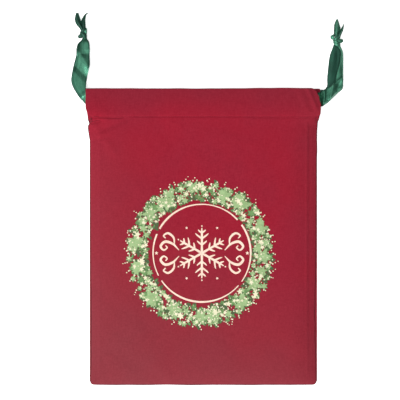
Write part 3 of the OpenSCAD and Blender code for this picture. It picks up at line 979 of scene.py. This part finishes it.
# Control points of each loop's strands from the pivot, in millimetres: outwards, up the sack, and height.
# Each station has four points across the ribbon, from its outer or lower edge to its inner or upper edge.
LEFT_FRONT = [
    [(-13.6, -13.0, 8.2), (-13.8, -7, 8.6), (-14, -1, 8.6), (-14.2, 4.6, 8.4)],
    [(-8.3, -11.2, 6.6), (-8.6, -5.6, 8.0), (-8.9, 0.4, 8.4), (-9.1, 6.2, 7.8)],
    [(-2.6, -4.4, 5.0), (-5.0, -0.4, 6.6), (-7, 4.2, 7.0), (-9.0, 9, 6.6)],
    [(2.4, 3.2, 4.4), (-1.5, 5.6, 5.8), (-6, 8.6, 6.2), (-9.2, 12.6, 5.8)],
    [(7.6, 12.4, 4.2), (2.5, 13, 5.2), (-4, 15.2, 5.6), (-9.6, 18.6, 5.2)],
    [(10.2, 20.5, 4.0), (4.0, 21.8, 5.0), (-4, 23.8, 5.4), (-10.8, 26.2, 4.8)],
    [(8.4, 30, 4.0), (2.8, 31.5, 5.0), (-5.5, 33, 5.4), (-13.0, 34.6, 4.6)],
    [(5.8, 40, 4.0), (0.0, 41.4, 5.0), (-7.5, 42.2, 5.4), (-14.2, 40.4, 4.6)],
    [(3.2, 51, 4.6), (-2.0, 52, 5.2), (-8.4, 52, 5.6), (-13.8, 52.6, 4.8)],
    [(2.8, 60, 7.2), (-3.0, 61, 5.4), (-9.0, 61.5, 6.2), (-14.1, 62, 5.6)],
    [(1.8, 67, 7.4), (-3.6, 68.6, 5.2), (-9.0, 69.6, 6.6), (-13.2, 69.6, 5.6)],
    [(-3.6, 73.4, 5.4), (-5.8, 74, 4.2), (-8.4, 74.6, 4.8), (-10.4, 74.6, 4.2)],
    [(-4.6, 79, 3.2), (-6.2, 79, 3.6), (-8.0, 79, 3.8), (-9.4, 79, 3.4)],
]
LEFT_BACK = [
    [(-7, -8, 0.75), (-7, -2.6, 0.75), (-7, 2.6, 0.75), (-7, 8, 0.75)],
    [(-1.5, -4.5, 0.75), (-3.2, -0.4, 0.9), (-5.5, 4, 1.0), (-8, 8.4, 0.8)],
    [(4.2, 3.5, 0.8), (0.6, 6.2, 1.4), (-4, 9.0, 1.5), (-8.4, 11.8, 0.8)],
    [(9.2, 12.5, 0.9), (5, 13.8, 1.6), (-0.8, 15.2, 1.6), (-7.2, 16.4, 0.9)],
    [(11.0, 20.6, 1.0), (6, 21.4, 1.8), (0, 22, 1.8), (-6, 22.6, 1.0)],
    [(9.6, 31, 1.2), (4, 31.6, 2.0), (-2, 32, 2.0), (-7.4, 32.4, 1.2)],
    [(7.2, 42, 1.4), (1.4, 42, 2.2), (-4.4, 42, 2.2), (-9.2, 42.6, 1.4)],
    [(4.4, 53, 1.6), (-0.4, 53, 2.2), (-6, 53, 2.2), (-10.4, 53, 1.6)],
    [(4.0, 62, 1.8), (-1.4, 62, 2.4), (-6.6, 62, 2.4), (-11, 62, 1.8)],
    [(1.6, 68.6, 2.0), (-3.6, 69.6, 2.4), (-7.2, 69.6, 2.4), (-10.6, 69.6, 2.0)],
    [(-4.0, 74.6, 2.2), (-6.2, 75, 2.6), (-8.2, 75, 2.6), (-10, 75, 2.2)],
    [(-4.6, 79, 2.2), (-6.4, 79, 2.6), (-8.2, 79, 2.6), (-9.6, 79, 2.2)],
]
RIGHT_FRONT = [
    [(-14.3, -14.6, 8.3), (-14.5, -8.5, 8.4), (-14.7, -2.5, 8.4), (-15, 3.2, 8.3)],
    [(-10.2, -14.9, 5.8), (-10.8, -9, 6.2), (-11.6, -3, 6.2), (-12.4, 3.4, 6.6)],
    [(-6.6, -14.4, 4.4), (-7.0, -8.8, 6.4), (-8.0, -2.4, 6.2), (-10, 4.4, 6.0)],
    [(-3.0, -12, 3.6), (-2.9, -8, 7.0), (-4.0, -1.6, 6.6), (-6.8, 5.4, 5.6)],
    [(1.8, -8.4, 2.8), (1.0, -5, 6.8), (-1.0, 1.4, 6.0), (-3.2, 7.4, 5.0)],
    [(8, -2.6, 2.4), (6.8, 0, 7.2), (4, 5, 6.2), (1.2, 10.2, 5.0)],
    [(14.6, 3.8, 2.2), (13.0, 6, 7.2), (8.8, 9.4, 6.2), (5.2, 12.6, 5.2)],
    [(20.2, 9.0, 2.4), (18.6, 11, 7.4), (12.6, 14.2, 5.8), (8.0, 16.2, 4.4)],
    [(20.7, 17.4, 3.0), (19.4, 19, 7.2), (13.4, 20.6, 6.4), (10.2, 21, 4.8)],
    [(20.8, 30, 3.0), (18.8, 30.6, 5.4), (14.4, 31, 6.8), (12.8, 31, 5.2)],
    [(20.9, 41, 3.0), (19.4, 41.4, 4.6), (16.8, 41.6, 6.8), (15.7, 41.6, 5.2)],
    [(20.9, 49.6, 3.2), (19.8, 50, 4.6), (17.8, 50.2, 6.8), (16.8, 50, 5.2)],
    [(20.4, 57.6, 3.4), (19.6, 58, 4.6), (18.2, 58.2, 6.6), (17.2, 58, 5.2)],
    [(17.4, 64, 3.6), (16.6, 64, 4.4), (15.4, 64.2, 5.6), (14.0, 64, 4.8)],
    [(13.8, 70, 3.8), (13.4, 70, 4.2), (12.8, 70, 4.6), (11.8, 70, 4.8)],
]
RIGHT_BACK = [
    [(-7, -8, 1.35), (-7, -2.6, 1.35), (-7, 2.6, 1.35), (-7, 8, 1.35)],
    [(-0.6, -6.6, 1.2), (-1.6, -1.6, 1.4), (-3.4, 3.2, 1.4), (-5.2, 7.6, 1.2)],
    [(7.6, -1.6, 0.9), (5, 2.4, 1.4), (1, 6.4, 1.5), (-2.0, 9.8, 0.9)],
    [(13.4, 9, 0.8), (9.8, 10.6, 1.4), (4.6, 12.4, 1.6), (-0.2, 14.2, 1.4)],
    [(15.4, 20, 0.8), (11, 20.6, 1.6), (5, 21.4, 2.0), (-0.3, 22, 1.6)],
    [(16.2, 32, 0.9), (12, 32.4, 1.6), (6, 32.6, 2.2), (0.6, 32.8, 1.8)],
    [(17.4, 43.6, 1.0), (13, 43.8, 1.7), (7, 44, 2.4), (1.8, 44, 1.8)],
    [(18.4, 52, 1.2), (13.8, 52.4, 1.8), (8.2, 52.6, 2.6), (3.2, 52.6, 1.8)],
    [(18.6, 59, 1.6), (14.4, 59.2, 2.2), (9.4, 59.2, 2.6), (5.4, 59, 1.9)],
    [(16.0, 65, 2.0), (13.2, 65.2, 2.4), (10.2, 65.2, 2.6), (7.6, 65, 2.0)],
    [(13.2, 70, 2.4), (12.2, 70, 2.6), (11.2, 70, 2.6), (9.8, 70, 2.2)],
]
# Folds pressed into the loops, in the same places: start, end, height, and reach to the right and to the left
LEFT_FOLDS = [((8.2, 41.8), (-15, 18), -2.1, 9.5, 6.5), ((0.6, 59.3), (-16.4, 31), 1.7, 6.5, 8),
              ((-6, 77), (-2.6, 54), -1.2, 7, 6), ((-1, 54.5), (-17, 54.5), -0.9, 6, 6),
              ((2, -4.8), (-12, 1.8), 1.5, 6, 4)]
RIGHT_FOLDS = [((-10.2, -18), (-7, 8), -2.2, 2.4, 3), ((-6.4, -18), (-3.4, 8), 1.6, 2.4, 1.6),
               ((1.8, -9), (8.8, 19), 2.4, 5, 2.2), ((3.5, 10), (24, 27), 1.8, 6, 3),
               ((10.4, 0), (17.6, 20), -1.4, 3, 3)]
RIGHT_BACK_FOLDS = [((4.6, 24), (8.6, 58), 0.9, 4, 2.2), ((12, 30), (13.4, 56), -0.5, 2.5, 2.5)]


def at_pivot(side, points):
    """Points from a loop's pivot in millimetres, outwards first, to places in the frame."""
    pivot = PIVOTS["left_loop" if side < 0 else "right_loop"]
    points = np.asarray(points, float) * MM
    return points * [side, 1, 1] + [pivot[0], pivot[1], 0]


def pressed(grid, side, folds):
    """The grid with folds pressed into it. They fade where the strand enters the casing and the knot."""
    pivot = PIVOTS["left_loop" if side < 0 else "right_loop"]
    out, up = (grid[..., 0] - pivot[0]) * side, grid[..., 1] - pivot[1]
    if side < 0:
        outside = smoothstep(-10 * MM, -4 * MM, out + 0.3 * up)
    else:
        outside = smoothstep(-13.5 * MM, -10.5 * MM, out)
    moved = grid.copy()
    moved[..., 2] += sum(fold(out, up, *line) for line in folds) * outside
    return moved


def band_grid(side, x, z):
    """A ribbon's full width, four points across, at each x and z of its run through the casing."""
    grid = np.zeros((len(x), 4, 3))
    grid[..., 0] = x[:, None]
    grid[..., 1] = (MID_BAND_Y + side * STRAND_SLOPE * x)[:, None] + np.linspace(-0.5, 0.5, 4) * RIBBON_W
    grid[..., 2] = z[:, None]
    return grid


def casing_run(side, x_from, x_to, z, count):
    """A straight flat stretch of ribbon in the casing."""
    x = np.linspace(x_from, x_to, count)
    return band_grid(side, x, z + 0.05 * MM * np.sin(x * 130))


def far_turn(side, low_z, high_z):
    """The half turn of a ribbon round the hems' ends at the far end of the casing, from above to below."""
    r = (high_z - low_z) / 2
    turn_x = (left_strand[1].x if side < 0 else -right_strand[0].x) - r - RIBBON_T / 2 - FAR_TURN_BACK
    angles = np.radians(np.linspace(90, -90, 13))
    return band_grid(side, -side * (turn_x + r * np.cos(angles)), (low_z + high_z) / 2 + r * np.sin(angles))


def face_up(grid, row=-2):
    """The same grid with its columns ordered so that its face looks up at the given row."""
    along = grid[row + 1, 0] - grid[row - 1, 0]
    across = grid[row, -1] - grid[row, 0]
    return grid if np.cross(across, along)[2] > 0 else grid[:, ::-1]


def build_ribbon(name, side, front, back, folds, back_folds):
    low_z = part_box(name + "_ribbon_back_strand")[0].z + RIBBON_T / 2
    high_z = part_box(name + "_ribbon_front_strand")[1].z - RIBBON_T / 2

    # round the hems' ends at the far end of the casing, back along it and up the back of the loop
    turn = far_turn(side, low_z, high_z)
    lead = casing_run(side, -side * (HEM_X - 9 * MM), turn[0, 0, 0] + side * 1 * MM, high_z, 3)
    long_run = casing_run(side, turn[-1, 0, 0] + side * 4 * MM, side * (CASING_X - 6 * MM), low_z, 26)
    grid = loft(np.concatenate([lead, turn, long_run, at_pivot(side, back)]), 360, 17)
    grid = pressed(grid, side, back_folds)
    hidden = ribbon_piece(name + "_ribbon_back", grid, SATIN_REVERSE_SHADED, SATIN,
                          [name + "_ribbon_back_strand", name + "_loop_back_strand"])
    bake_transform(hidden)

    exit_run = casing_run(side, side * (CASING_X - 15 * MM), side * (CASING_X - 9 * MM), high_z, 3)
    grid = pressed(loft(np.concatenate([exit_run, at_pivot(side, front)]), 190, 29), side, folds)
    shown = ribbon_piece(name + "_ribbon_front", grid, SATIN, SATIN_REVERSE_SHADED, [name + "_loop_front_strand"],
                         row=5)
    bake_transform(shown)

    for half, way in SIDES.items():
        end_x = way * (CASING_X - 14 * MM) if way == side else way * (HEM_X - 11 * MM)
        run = loft(casing_run(side, 0, end_x, high_z, 30), 60, 7)
        inner = ribbon_piece(f"{name}_ribbon_in_casing_{half}", run, SATIN, SATIN_REVERSE_SHADED,
                             [name + "_ribbon_front_strand"])
        bend_with_mouth(inner)


# Tails from the pivot. Each station gives the ribbon's middle, height, shown width and how far it folds up.
LEFT_LONG_TAIL = [(-4.8, 84, 2.4, 3.6, 1.0), (-3.0, 89.6, 4.4, 5.8, 1.8), (0.8, 95.6, 4.4, 7.2, 1.6),
                  (2.2, 100, 3.8, 7.6, 1.2),
                  (2.7, 104.4, 3.2, 5.6, 0.9), (2.8, 108.8, 2.8, 3.2, 0.5)]
LEFT_SHORT_TAIL = [(-6.4, 84, 2.2, 3.6, 1.0), (-5.6, 90, 4.0, 5.6, 1.8), (-5.0, 95.6, 4.2, 6.2, 1.5),
                   (-6.0, 101, 3.6, 4.2, 1.0),
                   (-7.4, 105, 3.2, 2.8, 0.6), (-9.4, 107.6, 2.8, 1.6, 0.3), (-11.8, 109, 2.6, 0.7, 0.1)]
RIGHT_LONG_TAIL = [(11.4, 77, 4.6, 6, 1.8), (12, 82, 5.0, 7.2, 2.2), (12.8, 87, 5.0, 8.6, 2.4),
                   (12.4, 92.4, 4.4, 7.2, 2.0),
                   (12.6, 97, 3.6, 4.4, 1.2), (12.8, 101, 2.8, 1.0, 0.4)]
RIGHT_SHORT_TAIL = [(14.2, 77, 4.2, 5, 1.6), (16.2, 81.6, 4.4, 4.6, 1.6), (18.6, 85.6, 4.0, 3.6, 1.2),
                    (20.2, 89.4, 3.4, 2.4, 0.8),
                    (21.4, 94, 2.8, 0.8, 0.3)]


def tail_grid(side, stations):
    """A tail folded lengthwise: its two edges lie low and its middle and quarter lines stand up and down."""
    middle = spline([s[:2] for s in stations], 40)
    height, width, raised = spline([s[2:] for s in stations], 40).T
    shares = np.linspace(-0.5, 0.5, 15)
    zigzag = 0.55 * np.cos(shares * 2 * math.pi * 1.5) + 0.45 * np.cos(shares * 2 * math.pi)
    grid = np.zeros((40, 15, 3))
    grid[..., :2] = middle[:, None] + leftward(middle)[:, None] * shares[None, :, None] * width[:, None, None]
    grid[..., 2] = height[:, None] + raised[:, None] * zigzag
    return at_pivot(side, grid)


def build_tail(name, side, stations, node_name, face, reverse):
    tail = ribbon_piece(name, tail_grid(side, stations), face, reverse, [node_name])
    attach(tail, ("left" if side < 0 else "right") + "_loop")
    return tail


def wrap_grid(side, centre, radii, tilt, reach, turns, seed):
    """A ribbon wound round the neck of a loop, about a centre and radii in millimetres."""
    angles = np.radians(np.linspace(-90 - turns * 180, -90 + turns * 180, 64))
    shares = np.linspace(-1, 1, 13)
    chance = random.Random(seed)
    grid = np.zeros((len(angles), len(shares), 3))
    pinch = 1 - 0.2 * np.cos(2 * angles)
    bulge = 1 - 0.34 * shares**2
    ridges = sum(0.11 * np.abs(np.sin(shares[None, :] * chance.uniform(2.4, 5) + chance.uniform(1.5, 3.5) *
                                      np.sin(angles)[:, None] + chance.uniform(0, 6))) - 0.07
                 for _ in range(5))
    round_it = bulge[None, :] * (1 + ridges)
    out = centre[0] + radii[0] * np.cos(angles)[:, None] * round_it
    up = centre[1] + reach * shares[None, :] * pinch[:, None] + tilt * np.cos(angles)[:, None]
    grid[..., 0], grid[..., 1] = out, up
    grid[..., 2] = centre[2] + radii[1] * np.sin(angles)[:, None] * round_it
    return at_pivot(side, grid)


def build_knot(name, side, wraps, lobes):
    grids = [(f"{name}_knot_wrap_{i + 1}", wrap_grid(side, *wrap)) for i, wrap in enumerate(wraps)]
    grids += [(f"{name}_knot_fold_{i + 1}", face_up(loft(at_pivot(side, lobe), 30, 15))) for i,
              lobe in enumerate(lobes)]
    pieces = [cloth_piece(piece_name, grid, RIBBON_T, SATIN, SATIN_REVERSE_SHADED) for piece_name, grid in grids]
    for piece in pieces:
        tag(piece, name + "_loop", "green_satin", name + "_knot")
    return pieces


# Folds of ribbon that stand out of the knots, as control points from the pivot
LEFT_LOBES = [
    [[(-3.6, 82, 5.0), (-3.8, 80, 6.4), (-4.4, 78, 6.2), (-5.2, 76.4, 4.6)],
     [(-1.2, 81, 4.6), (-1, 79, 6.6), (-1.6, 77, 6.2), (-3, 75.4, 4.2)],
     [(1.4, 78.4, 4.0), (1.7, 77.2, 5.0), (1.2, 76, 4.8), (0, 75, 3.8)],
     [(-1.4, 77.8, 2.8), (-1.6, 77, 3.2), (-2.2, 76.2, 3.2), (-3, 75.6, 2.6)]],
    [[(-9, 88.4, 4.6), (-8, 86.4, 6.4), (-7.4, 84, 6.6), (-7.4, 81.4, 5.2)],
     [(-10.2, 87.6, 4.4), (-9.8, 85.4, 6.0), (-9.4, 83, 6.4), (-9, 80.4, 4.8)],
     [(-10.4, 85.4, 3.4), (-10.3, 83.8, 4.4), (-10.2, 82, 4.6), (-9.8, 80, 3.6)]],
]
RIGHT_LOBES = [
    [[(13, 75.9, 5.0), (13.6, 73.5, 6.8), (13.4, 71.1, 6.6), (12.8, 68.9, 5.0)],
     [(16.6, 74.5, 4.8), (17, 72.1, 6.4), (16.8, 70.3, 6.2), (15.6, 68.3, 4.4)],
     [(20.2, 73.7, 4.2), (20.4, 71.6, 5.4), (19.8, 70.1, 5.0), (18, 69.1, 3.8)],
     [(19.4, 72.1, 3.4), (18.6, 71.1, 3.8), (18, 70.3, 3.6), (17, 69.5, 3.2)]],
    [[(9.6, 80.6, 5.0), (8.6, 78.4, 6.4), (8.6, 76, 6.4), (9.4, 73.6, 5.0)],
     [(6.6, 79.8, 4.4), (5.4, 77.8, 5.8), (5.6, 75.6, 5.6), (6.6, 73.4, 4.4)],
     [(4.4, 78.6, 3.6), (3.6, 76.8, 4.2), (4.2, 75.2, 4.2), (5.2, 74, 3.6)]],
]


# ---------------------------------------------------------------- camera, light and floor

def build_stage():
    scene = bpy.context.scene
    low, high = cad_box
    camera_data = bpy.data.cameras.new("camera")
    camera_data.lens = 100
    camera_data.sensor_width = 36
    camera = bpy.data.objects.new("camera", camera_data)
    off_centre = (-9.9 * MM, -1.7 * MM)
    distance = 1.455
    camera.location = ((low.x + high.x) / 2 + off_centre[0], (low.y + high.y) / 2 + off_centre[1],
                       FRONT_Z + distance)
    scene.collection.objects.link(camera)
    scene.camera = camera

    tree, shader, material = new_material("floor_paper")
    place = node(tree, "TexCoord", {}).outputs["Object"]
    mottle = noise_of(tree, place, (3, 3, 3), 2.0)
    tree.links.new(colour_mix(tree, mottle, (0.965, 0.965, 0.965, 1), (0.985, 0.985, 0.985, 1)),
                   shader.inputs["Base Color"])
    shader.inputs["Roughness"].default_value = 1.0
    shader.inputs["Specular IOR Level"].default_value = 0.0
    shader.inputs["Emission Color"].default_value = (1, 1, 1, 1)
    shader.inputs["Emission Strength"].default_value = 0.6  # a light table, whose glow thins the shadows
    reach = 4.0
    floor = add_piece("floor", [(-reach, -reach, -0.4 * MM), (reach, -reach, -0.4 * MM),
                                (reach, reach, -0.4 * MM),
                                (-reach, reach, -0.4 * MM)], [(0, 1, 2, 3)], material)

    world = bpy.data.worlds.new("studio")
    world.use_nodes = True
    world.node_tree.nodes["Background"].inputs["Color"].default_value = (0.98, 0.99, 1.0, 1)
    # the room is bright towards the key light and dark across from it, so that satin shows its folds
    toward = node(world.node_tree, "TexCoord", {}).outputs["Generated"]
    facing = node(world.node_tree, "VectorMath", {0: toward, 1: (-0.52, -0.5, 0.69)},
                  operation="DOT_PRODUCT").outputs["Value"]
    brightness = ranged(world.node_tree, facing, 0.1, 0.95, 0.1, 1.7)
    world.node_tree.links.new(brightness, world.node_tree.nodes["Background"].inputs["Strength"])
    scene.world = world
    # each soft box: name, place, size, power
    for name, place, size, power in (("key", (-0.72, -0.72, 1.5), 0.7, 18.0),
                                     ("fill", (0.8, 0.9, 1.3), 1.3, 2.5)):
        light = bpy.data.lights.new(name, "AREA")
        light.size = size
        light.energy = power
        lamp = bpy.data.objects.new(name, light)
        lamp.location = place
        direction = np.array([0, 0.03, 0]) - np.array(place)
        lamp.rotation_euler = (math.atan2(math.hypot(direction[0], direction[1]), -direction[2]), 0,
                               math.atan2(direction[1], direction[0]) - math.pi / 2)
        scene.collection.objects.link(lamp)
    scene.view_settings.view_transform = "Standard"


# ---------------------------------------------------------------- assembly

build_stage()
build_cloth()
build_casing_stitches()
for seam in ("left_side_seam", "right_side_seam", "bottom_seam"):
    build_allowance(seam, seam.replace("side_seam", "seam") + "_thread")
for name, side in SIDES.items():
    build_bar_tack(name + "_bar_tack", side)
build_wreath()
build_ring()
build_motif()
left_end = build_knot("left", -1, [((-5.6, 80, 4.4), (4.6, 3.0), 2.0, 3.6, 1.15, 1),
                                   ((-5.8, 85, 4.2), (4.0, 2.6), -2.0, 2.8, 1.15, 2)], LEFT_LOBES)
right_end = build_knot("right", 1, [((12.2, 68.6, 4.2), (4.6, 2.9), -1.6, 3.6, 1.15, 3),
                                    ((12, 74.8, 4.4), (4.6, 3.2), 2.4, 4.0, 1.15, 4)], RIGHT_LOBES)
left_end.append(build_tail("left_tail_long", -1, LEFT_LONG_TAIL, "left_long_tail", SATIN_REVERSE_SHADED, SATIN))
left_end.append(build_tail("left_tail_short", -1, LEFT_SHORT_TAIL, "left_short_tail", SATIN_REVERSE_SHADED, SATIN))
right_end.append(build_tail("right_tail_long", 1, RIGHT_LONG_TAIL, "right_long_tail", SATIN, SATIN_REVERSE_SHADED))
right_end.append(build_tail("right_tail_short", 1, RIGHT_SHORT_TAIL, "right_short_tail", SATIN,
                            SATIN_REVERSE_SHADED))
build_ribbon("left", -1, LEFT_FRONT, LEFT_BACK, LEFT_FOLDS, [])
build_ribbon("right", 1, RIGHT_FRONT, RIGHT_BACK, RIGHT_FOLDS, RIGHT_BACK_FOLDS)
